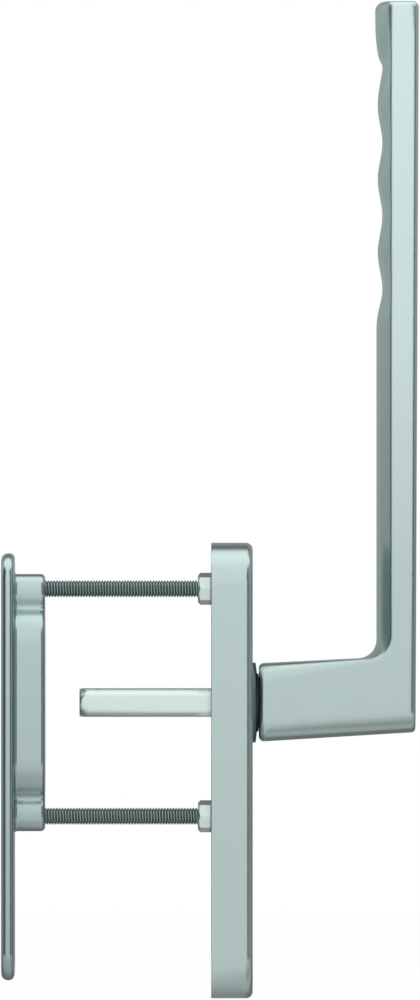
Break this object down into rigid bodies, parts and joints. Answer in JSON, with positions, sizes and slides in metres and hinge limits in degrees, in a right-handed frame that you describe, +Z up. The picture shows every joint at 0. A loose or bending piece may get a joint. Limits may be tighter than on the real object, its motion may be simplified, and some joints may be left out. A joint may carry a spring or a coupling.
{
  "type": "lift and slide door handle",
  "caption": "Handle set for a lift and slide door: cranked upright lever with finger scallops on a long cover plate, square spindle, through screws and a flush pull outside.",
  "frame": {"origin": "on the spindle axis, in the plane of the door's inner face, where the cover plate and base plate rest on the door", "axes": "+X out of the door into the room, towards the lever; +Z up along the grip in its closed position; the outer pull lies on the -X side"},
  "size_m": [0.1466, 0.036, 0.3503],
  "materials": {
    "satin_aluminium": "satin anodised",
    "pull_aluminium": "satin anodised",
    "bright_steel": "zinc plated",
    "dark_steel": "black passivated thread",
    "spring_steel": "bare",
    "cast_base": "as cast",
    "grey_collar": "satin dark grey",
    "black_bush": "matte black"
  },
  "bodies": {
    "door_side": {"base_plate": "cast_base", "cover_plate": "satin_aluminium", "neck_bush": "black_bush", "neck_collar": "grey_collar", "friction_washer": "black_bush", "cover_clip_upper": "spring_steel", "cover_clip_lower": "spring_steel", "support_post_upper": "bright_steel", "support_post_lower": "bright_steel", "fixing_screw_upper": "dark_steel", "fixing_screw_lower": "dark_steel", "screw_washer_upper": "bright_steel", "screw_washer_lower": "bright_steel", "screw_insert_upper": "bright_steel", "screw_insert_lower": "bright_steel", "flush_pull": "pull_aluminium"},
    "lever_side": {"lever": "satin_aluminium", "spindle": "bright_steel", "spindle_set_screw": "dark_steel", "retaining_ring": "spring_steel", "disc_spring": "spring_steel"}
  },
  "joints": [
    {"name": "lever_turn", "type": "hinge", "parent": "door_side", "child": "lever_side", "pos_m": [0, 0, 0], "axis": [1, 0, 0], "range_deg": [0, 180]}
  ]
}
